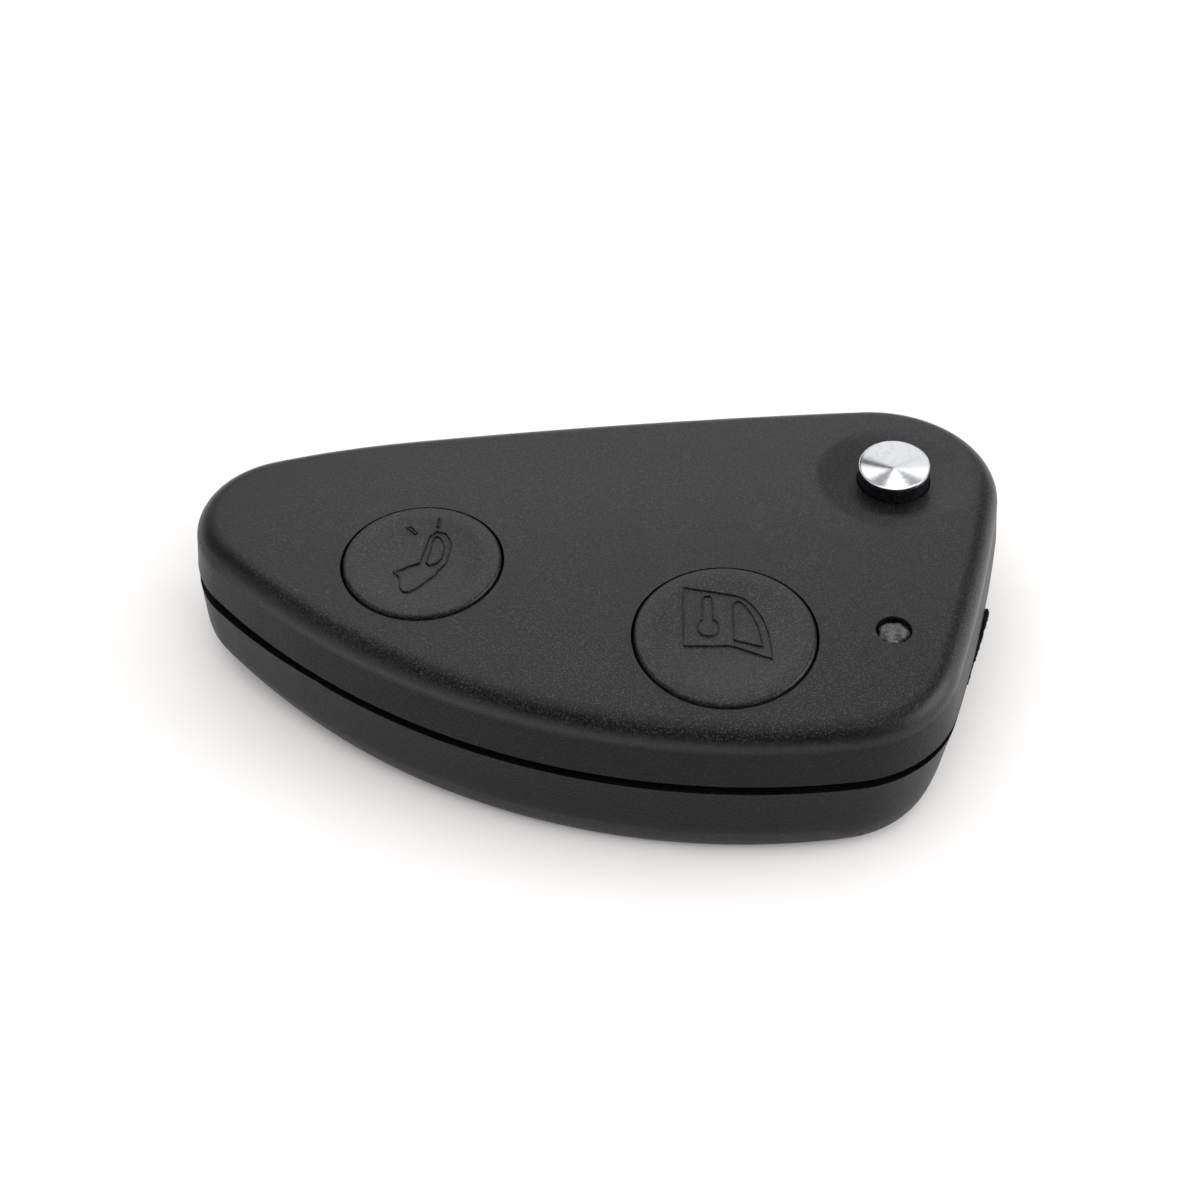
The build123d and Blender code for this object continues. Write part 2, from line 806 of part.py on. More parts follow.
def case_screw():
    """Round-headed screw from below, with a six-sided socket."""
    seat = screw_seat()
    head = column(screw_x, screw_y, screw_head_radius, seat - screw_head_height, seat)
    shaft = column(screw_x, screw_y, screw_radius, seat, screw_top())
    socket = Pos(screw_x, screw_y, seat - screw_head_height) * extrude(
        RegularPolygon(screw_slot_radius, 6), screw_slot_depth)
    return head + shaft - socket


nodes = {
    "upper_shell": upper_shell(),
    "lower_shell": lower_shell(),
    "lock_button": button(lock_x, lock_y, lock_radius),
    "trunk_button": button(trunk_x, trunk_y, trunk_radius),
    "lock_switch": tact_switch(lock_x, lock_y),
    "trunk_switch": tact_switch(trunk_x, trunk_y),
    "lock_plunger": plunger(lock_x, lock_y),
    "trunk_plunger": plunger(trunk_x, trunk_y),
    "release_button": release_button(),
    "blade_hub": blade_hub(),
    "key_blade": key_blade(),
    "blade_pin": blade_pin(),
    "flip_spring": flip_spring(),
    "hub_washer": hub_washer(),
    "circuit_board": circuit_board(),
    "microcontroller": chip(chip_x, chip_y, chip_length, chip_width, chip_height),
    "radio_chip": chip(radio_x, radio_y, radio_length, radio_width, radio_height),
    "crystal": crystal(),
    "passives": passives(),
    "loop_antenna": loop_antenna(),
    "led": led(),
    "led_leads": led_leads(),
    "coin_cell": coin_cell(),
    "cell_contact_positive": cell_contact_positive(),
    "cell_contact_negative": cell_contact_negative(),
    "transponder_capsule": transponder_capsule(),
    "case_screw": case_screw(),
}

os.makedirs("parts", exist_ok=True)
for name, solid in nodes.items():
    export_step(solid, f"parts/{name}.step")
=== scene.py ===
import bpy
import bmesh
import math
from mathutils import Matrix, Vector
from mathutils.bvhtree import BVHTree
from mathutils.kdtree import KDTree


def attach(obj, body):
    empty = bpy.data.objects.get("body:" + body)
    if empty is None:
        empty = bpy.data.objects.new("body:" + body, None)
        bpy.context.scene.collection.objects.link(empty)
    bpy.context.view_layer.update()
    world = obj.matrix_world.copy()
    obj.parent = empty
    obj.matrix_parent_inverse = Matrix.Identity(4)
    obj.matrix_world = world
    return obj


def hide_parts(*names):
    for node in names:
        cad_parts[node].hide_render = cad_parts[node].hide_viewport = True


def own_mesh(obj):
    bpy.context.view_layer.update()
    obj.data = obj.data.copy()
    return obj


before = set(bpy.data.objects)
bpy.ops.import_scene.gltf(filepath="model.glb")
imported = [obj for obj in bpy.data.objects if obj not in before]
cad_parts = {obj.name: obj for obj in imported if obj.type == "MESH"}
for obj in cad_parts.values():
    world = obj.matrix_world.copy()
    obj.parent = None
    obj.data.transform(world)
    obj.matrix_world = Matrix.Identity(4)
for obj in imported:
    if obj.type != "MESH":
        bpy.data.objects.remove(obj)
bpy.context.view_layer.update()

# Table: the plain white sheet that the fob lies on, with a soft matte face.
# It lies at the level of the fob's lowest point and runs out of the picture.
MM = 0.001
table_half = 1.2
paper_cloud = 4 * MM
paper_dark = (0.865, 0.853, 0.845, 1)
paper_light = (0.885, 0.873, 0.865, 1)


class Value:
    """A number in a shader. Sums and products with it add Math nodes."""

    def __init__(self, finish, socket):
        self.finish = finish
        self.socket = socket

    def maths(self, operation, first, second):
        node = self.finish.node("ShaderNodeMath", {"operation": operation}, {0: first, 1: second})
        return Value(self.finish, node.outputs[0])

    def __add__(self, other):
        return self.maths("ADD", self, other)

    def __radd__(self, other):
        return self.maths("ADD", other, self)

    def __sub__(self, other):
        return self.maths("SUBTRACT", self, other)

    def __rsub__(self, other):
        return self.maths("SUBTRACT", other, self)

    def __mul__(self, other):
        return self.maths("MULTIPLY", self, other)

    def __rmul__(self, other):
        return self.maths("MULTIPLY", other, self)


class Finish:
    """A procedural material whose patterns read Object coordinates."""

    def __init__(self, name, **constants):
        self.material = bpy.data.materials.new(name)
        self.material.use_nodes = True
        self.tree = self.material.node_tree
        self.tree.nodes.clear()
        sockets = {key.replace("_", " "): value for key, value in constants.items()}
        self.shader = self.node("ShaderNodeBsdfPrincipled", {}, sockets)
        self.node("ShaderNodeOutputMaterial", {}, {"Surface": self.shader.outputs["BSDF"]})
        self.place = self.node("ShaderNodeTexCoord").outputs["Object"]

    def node(self, kind, settings=None, sockets=None):
        """Adds a node: its settings first, then the values or links of its sockets."""
        node = self.tree.nodes.new(kind)
        for key, value in (settings or {}).items():
            setattr(node, key, value)
        for key, value in (sockets or {}).items():
            self.feed(node.inputs[key], value)
        return node

    def feed(self, socket, value):
        """Sets a socket to a constant, or links it to a value or a socket."""
        if isinstance(value, Value):
            value = value.socket
        if isinstance(value, bpy.types.NodeSocket):
            self.tree.links.new(value, socket)
        else:
            socket.default_value = value

    def noise(self, size, detail=2.0, stretch=(1, 1, 1)):
        """Cloudy noise around one half, its blotches about size metres across."""
        mapped = self.node("ShaderNodeMapping", {}, {"Vector": self.place, "Scale": stretch})
        node = self.node("ShaderNodeTexNoise", {}, {
            "Vector": mapped.outputs[0], "Scale": 1 / size, "Detail": detail})
        return Value(self, node.outputs[0])

    def step(self, value, low, high):
        """Smooth step of a value between two limits, from 0 to 1."""
        node = self.node("ShaderNodeMapRange", {"interpolation_type": "SMOOTHSTEP"}, {
            "Value": value, "From Min": low, "From Max": high})
        return Value(self, node.outputs["Result"])

    def distance(self, centre):
        """Distance from an upright line at a centre given in millimetres."""
        aside = self.node("ShaderNodeVectorMath", {"operation": "SUBTRACT"}, {
            0: self.place, 1: (centre[0] * MM, centre[1] * MM, 0)})
        flat = self.node("ShaderNodeVectorMath", {"operation": "MULTIPLY"}, {
            0: aside.outputs[0], 1: (1, 1, 0)})
        node = self.node("ShaderNodeVectorMath", {"operation": "LENGTH"}, {0: flat.outputs[0]})
        return Value(self, node.outputs["Value"])

    def blend(self, mask, first, second):
        """Colour between two colours, by a mask from 0 to 1."""
        node = self.node("ShaderNodeMix", {"data_type": "RGBA"}, {0: mask, 6: first, 7: second})
        return node.outputs[2]

    def colour(self, value):
        self.feed(self.shader.inputs["Base Color"], value)

    def roughness(self, value):
        self.feed(self.shader.inputs["Roughness"], value)

    def bump(self, height, distance):
        """Feeds the shader's normal with a relief, its height times distance in metres."""
        node = self.node("ShaderNodeBump", {}, {"Height": height, "Distance": distance})
        self.feed(self.shader.inputs["Normal"], node.outputs["Normal"])


def deselect():
    """Leaves nothing selected and no piece open in edit mode."""
    if bpy.context.object and bpy.context.object.mode == "EDIT":
        bpy.ops.object.mode_set(mode="OBJECT")
    bpy.ops.object.select_all(action="DESELECT")


deselect()
bpy.ops.mesh.primitive_plane_add(size=2 * table_half, location=(0, 0, 0))
table = bpy.context.object
table.name = "table"
paper = Finish("table paper", Roughness=0.6, Specular_IOR_Level=0.2)
paper.colour(paper.blend(paper.noise(paper_cloud), paper_dark, paper_light))
table.data.materials.append(paper.material)

# Camera: held in front of the fob at the photograph's angle, with a long lens
# about 40 cm away, its sides level.
camera_azimuth = math.radians(-5.37)
camera_elevation = math.radians(45.34)
camera_distance = 398.7 * MM
camera_target = Vector((0.43, 13.68, -0.25)) * MM
camera_lens = 125.93
camera_near = 0.01

sight = Vector((math.sin(camera_azimuth) * math.cos(camera_elevation),
                -math.cos(camera_azimuth) * math.cos(camera_elevation),
                math.sin(camera_elevation)))
level_line = Vector((math.cos(camera_azimuth), math.sin(camera_azimuth), 0))
turn = Matrix((level_line, sight.cross(level_line), sight)).transposed().to_4x4()
lens = bpy.data.cameras.new("camera")
lens.lens = camera_lens
lens.clip_start = camera_near
camera = bpy.data.objects.new("camera", lens)
bpy.context.scene.collection.objects.link(camera)
camera.matrix_world = Matrix.Translation(camera_target + sight * camera_distance) @ turn
bpy.context.scene.camera = camera

# Lights: soft panels behind and over the fob that its top mirrors, a dim wall and
# three small windows that the chrome picks up, a weak panel at its left, a stronger
# one at its right, and two large ones over and before it that light the table.
panels = (
    ("high panel", (-0.04, 0.516, 1.035), 1.2, 0.555, 2.75, "mirror"),
    ("top panel", (-0.04, -0.17, 1.15), 1.2, 0.85, 3.1, "mirror"),
    ("low panel", (-0.19, 0.823, 0.838), 0.86, 0.22, 0.78, "mirror"),
    ("back wall", (0.0, 1.25, 0.55), 2.4, 0.78, 2.65, "mirror"),
    ("middle window", (0.218, 1.134, 0.66), 0.12, 0.46, 0.55, "mirror"),
    ("left window", (-0.103, 1.15, 0.72), 0.26, 0.4, 0.6, "mirror"),
    ("right window", (0.523, 1.03, 0.72), 0.26, 0.4, 0.6, "mirror"),
    ("left panel", (-1.1, -0.1, 0.35), 0.9, 0.6, 1.0, "both"),
    ("right panel", (1.1, -0.15, 0.35), 0.9, 0.6, 8.0, "both"),
    ("ceiling", (0.0, -0.1, 1.3), 2.6, 2.6, 36.0, "table"),
    ("front panel", (0.0, -1.3, 1.0), 2.0, 1.2, 12.0, "table"),
)
room_light = 0.06

for name, place, wide, high, power, use in panels:
    lamp = bpy.data.lights.new(name, "AREA")
    lamp.shape = "RECTANGLE"
    lamp.size = wide
    lamp.size_y = high
    lamp.energy = power
    panel = bpy.data.objects.new(name, lamp)
    panel.visible_glossy = use != "table"
    panel.visible_diffuse = use != "mirror"
    bpy.context.scene.collection.objects.link(panel)
    aim = (-Vector(place)).to_track_quat("-Z", "Y").to_matrix().to_4x4()
    panel.matrix_world = Matrix.Translation(place) @ aim

world = bpy.data.worlds.new("room")
bpy.context.scene.world = world
world.use_nodes = True
world.node_tree.nodes["Background"].inputs["Color"].default_value = (1, 1, 1, 1)
world.node_tree.nodes["Background"].inputs["Strength"].default_value = room_light
bpy.context.scene.view_settings.view_transform = "Standard"

# Upper shell: the domed half of the case, moulded in black plastic from a
# spark-eroded tool, which gives it a fine even grain. Its rim slips over a tongue
# on the lower shell.
smooth_angle = math.radians(32)
weld_distance = 0.0005 * MM
grain_size = 0.2 * MM
grain_height = 0.04 * MM
grain_rough = 0.2
cloud_size = 9 * MM
cloud_rough = 0.1
noise_middle = 0.5
shell_shade = 0.005
shell_roughness = 0.41
shell_gloss = 0.16
# The coat on the crown is a painted sheen, full above the fillet band and thinned on the scoop's
# left side as painted shade.
crown_painted_sheen = 0.465
sheen_low = 14.1 * MM
sheen_high = 15.3 * MM
speck_size = 0.8 * grain_size
speck_cloud = 0.12
speck_range = (0.56, 0.76)
glint_top_level = 16.6 * MM
# The specks' pale colour is a painted glint: the grain's facets catching light, put into the base
# colour.
glint_speck_shade = 0.02
speck_rough = 0.1
speck_height = 0.5
wall_glint_share = 0.3
dark_tint = (0.4, 0.37, 0.41)
glint_speck_tint = (1, 0.93, 1.02)
hub_place = (27.17, 9.96)
scoop_radius = 7.4
scoop_edge = 0.7
scoop_fade = 5
scoop_painted_shade = 0.62
seam_lift = 0.3
upper_rim = 10.1
rim_slack = 0.02


def black_plastic(name, shade, rough):
    """Black moulded plastic with pale specks in its grain, the specks' colour a painted glint.
    A coat on the crown is a painted sheen, thinned on the scoop's left side as painted shade."""
    finish = Finish(name, Specular_IOR_Level=shell_gloss, Coat_Roughness=rough)
    axes = finish.node("ShaderNodeSeparateXYZ", {}, {"Vector": finish.place})
    crown = finish.step(axes.outputs["Z"], sheen_low, sheen_high)
    inner_radius = (scoop_radius - scoop_edge) * MM
    scoop = 1 - finish.step(finish.distance(hub_place), inner_radius, scoop_radius * MM)
    left = (hub_place[0] - scoop_radius) * MM
    scoop_shaded_side = 1 - finish.step(axes.outputs["X"], left, (hub_place[0] + scoop_fade) * MM)
    grain = finish.noise(grain_size)
    cloud = finish.noise(cloud_size)
    # Specks: real grain in the roughness and relief, painted glints in the colour, fewer on the
    # walls than on the top.
    speck = finish.step(finish.noise(speck_size, 1.0) + speck_cloud * cloud, *speck_range)
    glint_top = finish.step(axes.outputs["Z"], sheen_high, glint_top_level)
    speck = speck * (wall_glint_share + (1 - wall_glint_share) * glint_top)
    dark = (*(shade * tint for tint in dark_tint), 1)
    light = (*(shade + glint_speck_shade * tint for tint in glint_speck_tint), 1)
    finish.colour(finish.blend(speck, dark, light))
    unevenness = grain_rough * (grain - noise_middle) + cloud_rough * (cloud - noise_middle)
    finish.roughness(rough + unevenness - speck_rough * speck)
    finish.bump(grain + speck_height * speck, grain_height)
    # Painted sheen on the crown, with painted shade on the left side of the scoop.
    painted_sheen = crown_painted_sheen * crown * (1 - scoop_painted_shade * scoop * scoop_shaded_side)
    finish.feed(finish.shader.inputs["Coat Weight"], painted_sheen)
    return finish.material


def open_piece(piece):
    """Opens one piece in edit mode with nothing selected."""
    deselect()
    piece.select_set(True)
    bpy.context.view_layer.objects.active = piece
    bpy.ops.object.mode_set(mode="EDIT")
    bpy.ops.mesh.select_all(action="DESELECT")


def smooth(piece):
    """Leaves edit mode and shades a piece smooth, but for its sharp edges."""
    deselect()
    piece.select_set(True)
    bpy.context.view_layer.objects.active = piece
    bpy.ops.object.shade_smooth_by_angle(angle=smooth_angle)
    weighting = piece.modifiers.new("even shading", "WEIGHTED_NORMAL")
    weighting.keep_sharp = True
    bpy.ops.object.modifier_apply(modifier=weighting.name)
    return piece


def node_copy(node, name):
    """A piece with a CAD node's shape, its loose triangles merged, left open in edit mode."""
    piece = bpy.data.objects.new(name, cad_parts[node].data.copy())
    bpy.context.scene.collection.objects.link(piece)
    open_piece(piece)
    bpy.ops.mesh.select_all(action="SELECT")
    bpy.ops.mesh.remove_doubles(threshold=weld_distance)
    bpy.ops.mesh.customdata_custom_splitnormals_clear()
    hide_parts(node)
    return piece


def dress(piece, material, body):
    """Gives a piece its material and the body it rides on."""
    piece.data.materials.clear()
    piece.data.materials.append(material)
    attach(piece, body)


shell_plastic = black_plastic("black grained plastic", shell_shade, shell_roughness)
upper_case = node_copy("upper_shell", "upper_case")
bpy.ops.object.mode_set(mode="OBJECT")
for vertex in upper_case.data.vertices:
    if abs(vertex.co.z / MM - upper_rim) < rim_slack:
        vertex.co.z += seam_lift * MM
smooth(upper_case)
dress(upper_case, shell_plastic, "case")

# Lower shell: the other half of the case, in the same black plastic, with its wall
# drawn in towards the table. It holds the board, the cell and the blade's hub, and
# a screw from below fixes it to the upper shell.
lower_rim = 9.55
seam_drop = 0.15
foot_cuts = (0.9, 1.6, 2.4, 3.4, 4.5, 6.0, 7.6)
foot_level = 4.5
foot_draw = 1.3
foot_fade = 6.0
tip_start = -20.0
tip_end = -34.0
tip_draw = 0.6
corner_start = 18.0
corner_end = 31.0
corner_draw = 1.1
corner_rim_draw = 0.1
corner_share = 0.6
free_gap = 0.05
wall_lean = 0.75


def share_between(value, start, end):
    """Smooth share from 0 at the start to 1 at the end."""
    share = min(1, max(0, (value - start) / (end - start)))
    return share * share * (3 - 2 * share)


def drawn_in(x, z):
    """How far the lower shell's wall is drawn in at a place. Millimetres."""
    corner = share_between(x, corner_start, corner_end)
    foot = max(0, 1 - z / foot_level) ** 2
    fall = max(0, 1 - z / lower_rim)
    draw = foot_draw + tip_draw * share_between(x, tip_start, tip_end)
    at_foot = draw * foot * (1 - corner_share * corner)
    return at_foot + corner * (corner_rim_draw + corner_draw * fall)


def draw_in_foot(piece):
    """Draws an open piece's outer wall in towards its foot, with the underside following."""
    for level in foot_cuts:
        bpy.ops.mesh.select_all(action="SELECT")
        bpy.ops.mesh.bisect(plane_co=(0, 0, level * MM), plane_no=(0, 0, 1))
    mesh = bmesh.from_edit_mesh(piece.data)
    mesh.normal_update()
    tree = BVHTree.FromBMesh(mesh)
    moves = {}
    for vertex in mesh.verts:
        outward = Vector((0, 0, 0))
        for face in vertex.link_faces:
            if abs(face.normal.z) < wall_lean:
                outward += face.normal * face.calc_area()
        outward.z = 0
        if outward.length == 0 or vertex.co.z > (lower_rim + rim_slack) * MM:
            continue
        outward.normalize()
        if tree.ray_cast(vertex.co + outward * free_gap * MM, outward)[0] is None:
            moves[vertex] = -outward * drawn_in(vertex.co.x / MM, vertex.co.z / MM) * MM
    edge = KDTree(len(moves))
    wall = list(moves)
    for index, vertex in enumerate(wall):
        edge.insert(vertex.co, index)
    edge.balance()
    for vertex in mesh.verts:
        looks_down = any(face.normal.z < -wall_lean for face in vertex.link_faces)
        if vertex in moves or not looks_down:
            continue
        if tree.ray_cast(vertex.co - Vector((0, 0, free_gap * MM)), Vector((0, 0, -1)))[0] is None:
            index, distance = edge.find(vertex.co)[1:]
            fade = max(0, 1 - distance / MM / foot_fade)
            moves[vertex] = moves[wall[index]] * fade
    for vertex, move in moves.items():
        vertex.co += move
    bmesh.update_edit_mesh(piece.data)
    bpy.ops.object.mode_set(mode="OBJECT")
    for vertex in piece.data.vertices:
        if abs(vertex.co.z / MM - lower_rim) < rim_slack:
            vertex.co.z -= seam_drop * MM


lower_plastic = black_plastic("black grained plastic of the lower shell", shell_shade,
                              shell_roughness)
lower_case = node_copy("lower_shell", "lower_case")
draw_in_foot(lower_case)
smooth(lower_case)
dress(lower_case, lower_plastic, "case")

# Burr: what is left of a torn lip on the right-hand seam, a ragged dark strip of
# soft plastic that stands out a little under the upper shell. It starts beside the
# place of the open blade. Its thin tail down the seam is painted shade, a dark strip
# where the lower shell's tongue lies in shadow.
# The last stretch, past (32.25, -7.5), is the painted shade along the seam.
torn_lip_and_shade_line = ((34.42, -0.9), (34.3, -1.3), (34.15, -1.8), (33.5, -3.8), (32.8, -5.9),
             (32.25, -7.5), (31.35, -10.0))
torn_lip_and_shade_shares = (0.4, 1.0, 0.9, 0.7, 0.5, 0.2, 0.15)
burr_level = 9.85
burr_reach = 0.8
burr_height = 0.6
burr_cuts = 8
burr_raggedness = 0.3
burr_grain = 0.35
burr_shade = 0.003
burr_roughness = 0.6


def ragged_strip(name, line, shares):
    """Ragged strip along a line seen from above, each point with its share of the reach."""
    deselect()
    start = (line[0][0] * MM, line[0][1] * MM, burr_level * MM)
    bpy.ops.mesh.primitive_plane_add(size=burr_height * MM, location=start,
                                     rotation=(math.radians(90), 0, 0))
    strip = bpy.context.object
    strip.name = name
    bpy.ops.object.transform_apply(location=True, rotation=True, scale=True)
    bpy.ops.object.mode_set(mode="EDIT")
    bpy.ops.mesh.select_all(action="SELECT")
    bpy.ops.transform.resize(value=(burr_reach * shares[0] / burr_height, 1, shares[0]))
    for step in range(1, len(line)):
        move = [(line[step][axis] - line[step - 1][axis]) * MM for axis in (0, 1)]
        grow = shares[step] / shares[step - 1]
        bpy.ops.mesh.extrude_region_move(TRANSFORM_OT_translate={"value": (move[0], move[1], 0)})
        bpy.ops.transform.resize(value=(grow, 1, grow))
    bpy.ops.mesh.select_all(action="SELECT")
    bpy.ops.mesh.subdivide(number_cuts=burr_cuts)
    bpy.ops.mesh.normals_make_consistent(inside=False)
    bpy.ops.object.mode_set(mode="OBJECT")
    clouds = bpy.data.textures.new(name, "CLOUDS")
    clouds.noise_scale = burr_grain * MM
    ragged = strip.modifiers.new("ragged", "DISPLACE")
    ragged.texture = clouds
    ragged.texture_coords = "LOCAL"
    ragged.strength = burr_raggedness * MM
    bpy.ops.object.modifier_apply(modifier=ragged.name)
    return strip


burr = ragged_strip("torn_lip", torn_lip_and_shade_line, torn_lip_and_shade_shares)
torn_plastic = black_plastic("torn plastic", burr_shade, burr_roughness)
dress(smooth(burr), torn_plastic, "case")

# Buttons: two hollow caps in the case's plastic, each with a flange that stops it
# under the crown, a dished top that follows the crown, and a post for its switch.
crown_height = 17.8
crown_x = 6.6
crown_y = -1.2
crown_long_radius = 559.0
crown_cross_radius = 161.5
lock_place = (9.37, -9.33)
lock_radius = 8.1
trunk_place = (-16.67, 2.72)
trunk_radius = 7.14
button_proud = 0.3
button_edge = 0.32
button_edge_steps = 6
button_rim = 1.25
button_dish = 0.55
button_flange = 0.8
button_flange_height = 0.8
button_drop = 2.76
button_wall = 0.9
button_roof = 1.2
button_post = 1.5
plunger_top = 10.9
# The buttons' base is paler than the shell's: a painted sheen for the light their dishes catch.
button_shade_and_sheen = 0.0165
dish_steps = 12
round_steps = 96
end_lean = 0.9
top_band = 1.0


def crown_level(x, y):
    """Height of the upper shell's crown over a point. Millimetres."""
    rise = math.sqrt(crown_cross_radius ** 2 - (y - crown_y) ** 2)
    swing = crown_long_radius - crown_cross_radius + rise
    return crown_height - crown_long_radius + math.sqrt(swing ** 2 - (x - crown_x) ** 2)


def cylinder(name, centre, radius, low, high):
    """Upright cylinder between two levels, in millimetres."""
    deselect()
    place = (centre[0] * MM, centre[1] * MM, (low + high) / 2 * MM)
    bpy.ops.mesh.primitive_cylinder_add(vertices=round_steps, radius=radius * MM,
                                        depth=(high - low) * MM, location=place)
    piece = bpy.context.object
    piece.name = name
    bpy.ops.object.transform_apply(location=True, rotation=True, scale=True)
    return piece


def pick_end(piece, upward):
    """Selects the highest face that looks up, or the lowest that looks down."""
    bpy.ops.mesh.select_all(action="DESELECT")
    bpy.ops.mesh.select_mode(type="FACE")
    mesh = bmesh.from_edit_mesh(piece.data)
    side = 1 if upward else -1
    faces = [face for face in mesh.faces if face.normal.z * side > end_lean]
    end = max(faces, key=lambda face: face.calc_center_median().z * side)
    end.select_set(True)
    mesh.select_flush(True)
    bmesh.update_edit_mesh(piece.data)


def lift(distance):
    """Extrudes the selected faces up, or down where the distance is negative."""
    bpy.ops.mesh.extrude_region_move(TRANSFORM_OT_translate={"value": (0, 0, distance * MM)})


def round_end(piece, upward, width, segments):
    """Rounds the edge of a piece's end face over a width in millimetres."""
    pick_end(piece, upward)
    bpy.ops.mesh.region_to_loop()
    bpy.ops.mesh.bevel(offset=width * MM, segments=segments, affect="EDGES")


def settle_on_crown(piece, centre, above):
    """Moves what stands above a level up or down, so that it follows the crown."""
    middle = crown_level(centre[0], centre[1])
    for vertex in piece.data.vertices:
        if vertex.co.z > above * MM:
            vertex.co.z += (crown_level(vertex.co.x / MM, vertex.co.y / MM) - middle) * MM


def button_cap(name, centre, radius):
    """Button drawn up from the disc of its flange, hollowed from below round its post."""
    crown = crown_level(centre[0], centre[1])
    ledge = crown - button_drop
    foot = ledge - button_flange_height
    cap = cylinder(name, centre, radius + button_flange, foot, ledge)
    open_piece(cap)
    pick_end(cap, True)
    bpy.ops.mesh.inset(thickness=button_flange * MM)
    lift(button_drop + button_proud)
    round_end(cap, True, button_edge, button_edge_steps)
    pick_end(cap, True)
    bpy.ops.mesh.inset(thickness=(button_rim - button_edge) * MM)
    dished = radius - button_rim
    for step in range(dish_steps - 1):
        outer = 1 - step / dish_steps
        inner = 1 - (step + 1) / dish_steps
        drop = button_dish * (outer ** 2 - inner ** 2)
        bpy.ops.mesh.inset(thickness=dished / dish_steps * MM, depth=-drop * MM)
    pick_end(cap, False)
    bpy.ops.mesh.inset(thickness=(button_flange + button_wall) * MM)
    lift(crown - button_roof - foot)
    bpy.ops.mesh.inset(thickness=(radius - button_wall - button_post) * MM)
    lift(plunger_top - crown + button_roof)
    bpy.ops.object.mode_set(mode="OBJECT")
    settle_on_crown(cap, centre, ledge + top_band)
    return smooth(cap)


button_plastic = black_plastic("black grained plastic of the buttons", button_shade_and_sheen,
                               shell_roughness)
for node, centre, radius, body in (("lock_button", lock_place, lock_radius, "lock_key"),
                                   ("trunk_button", trunk_place, trunk_radius, "trunk_key")):
    cap = button_cap(node + "_cap", centre, radius)
    dress(cap, button_plastic, body)
    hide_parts(node)

# Signs on the buttons: plain raised shapes moulded in one with the dish, in the
# buttons' plastic. One is a car door with a window and a key, the other a car seen
# from the side with its boot open.
sign_half = 0.2
sign_edge = 0.07
sign_edge_steps = 2
sign_grid = 0.6
sign_turn = -0.0936
door_panel = ((-3.62, 5.55), (-3.65, -1.16), (0.2, -0.94), (1.0, -1.16), (4.1, -2.66),
              (4.08, -1.7), (3.9, 0.2), (3.55, 1.7), (3.0, 2.9), (2.4, 3.8), (1.7, 4.5),
              (0.9, 4.8), (-1.0, 5.15))
door_window = ((0.78, -0.3), (0.74, 3.55), (0.82, 3.95), (1.15, 4.15), (1.55, 4.0),
               (1.95, 3.5), (2.45, 2.6), (2.9, 1.4), (3.15, 0.2), (3.3, -1.15))
door_key = ((-1.95, 4.3), (-1.85, 4.62), (-1.5, 4.72), (-1.15, 4.62), (-1.05, 4.3),
            (-1.02, 2.05), (-0.72, 1.9), (-0.55, 1.5), (-0.62, 0.7), (-1.0, 0.25),
            (-1.5, 0.12), (-2.0, 0.25), (-2.35, 0.7), (-2.42, 1.5), (-2.25, 1.9),
            (-1.97, 2.05))
car_body = ((-2.5, -1.15), (-1.95, -1.75), (-1.85, -3.3), (-1.6, -3.75), (-1.1, -3.8),
            (-0.4, -3.25), (0.35, -2.35), (1.15, -1.6), (1.45, -0.9), (2.1, -0.1),
            (2.35, 1.2), (2.55, 2.6), (2.1, 3.6), (1.2, 3.95), (0.55, 3.4), (0.1, 1.6),
            (-0.25, 0.1), (-1.2, -0.3))
car_window = ((0.35, 0.1), (0.85, 2.9), (1.05, 3.3), (1.4, 3.3), (1.85, 2.75),
              (1.95, 2.1), (1.7, 0.6), (1.3, 0.0), (0.7, -0.25))
boot_lid = ((-1.5, 4.5), (-1.15, 4.6), (-0.55, 3.95), (-0.75, 3.75))
boot_edge = ((1.3, 5.45), (1.55, 5.45), (1.42, 4.5), (1.2, 4.5))


def raised_sign(name, centre, radius, outlines):
    """Raised shape on a button's dish, from outlines in millimetres about its centre."""
    curve = bpy.data.curves.new(name, "CURVE")
    curve.dimensions = "2D"
    curve.extrude = (sign_half - sign_edge) * MM
    curve.bevel_depth = sign_edge * MM
    curve.bevel_resolution = sign_edge_steps
    for outline in outlines:
        spline = curve.splines.new("POLY")
        spline.points.add(len(outline) - 1)
        for point, (across, along) in zip(spline.points, outline):
            point.co = (across * MM, along * MM, 0, 1)
        spline.use_cyclic_u = True
    sign = bpy.data.objects.new(name, curve)
    bpy.context.scene.collection.objects.link(sign)
    deselect()
    sign.select_set(True)
    bpy.context.view_layer.objects.active = sign
    bpy.ops.object.convert(target="MESH")
    sign = bpy.context.object
    sign.data.transform(Matrix.Rotation(sign_turn, 4, "Z"))
    sign.data.transform(Matrix.Translation((centre[0] * MM, centre[1] * MM, 0)))
    open_piece(sign)
    cuts = int(2 * radius / sign_grid)
    for direction in ((1, 0, 0), (0, 1, 0)):
        for step in range(cuts):
            offset = -radius + step * sign_grid
            cut = [(centre[axis] + direction[axis] * offset) * MM for axis in (0, 1)]
            bpy.ops.mesh.select_all(action="SELECT")
            bpy.ops.mesh.bisect(plane_co=(cut[0], cut[1], 0), plane_no=direction)
    bpy.ops.object.mode_set(mode="OBJECT")
    dished = radius - button_rim
    for vertex in sign.data.vertices:
        x = vertex.co.x / MM
        y = vertex.co.y / MM
        share = math.dist((x, y), centre) / dished
        vertex.co.z += (crown_level(x, y) + button_proud - button_dish * (1 - share ** 2)) * MM
    return smooth(sign)


door_sign = raised_sign("door_sign", lock_place, lock_radius, (door_panel, door_window, door_key))
dress(door_sign, button_plastic, "lock_key")
car_sign = raised_sign("car_sign", trunk_place, trunk_radius,
                       (car_body, car_window, boot_lid, boot_edge))
dress(car_sign, button_plastic, "trunk_key")

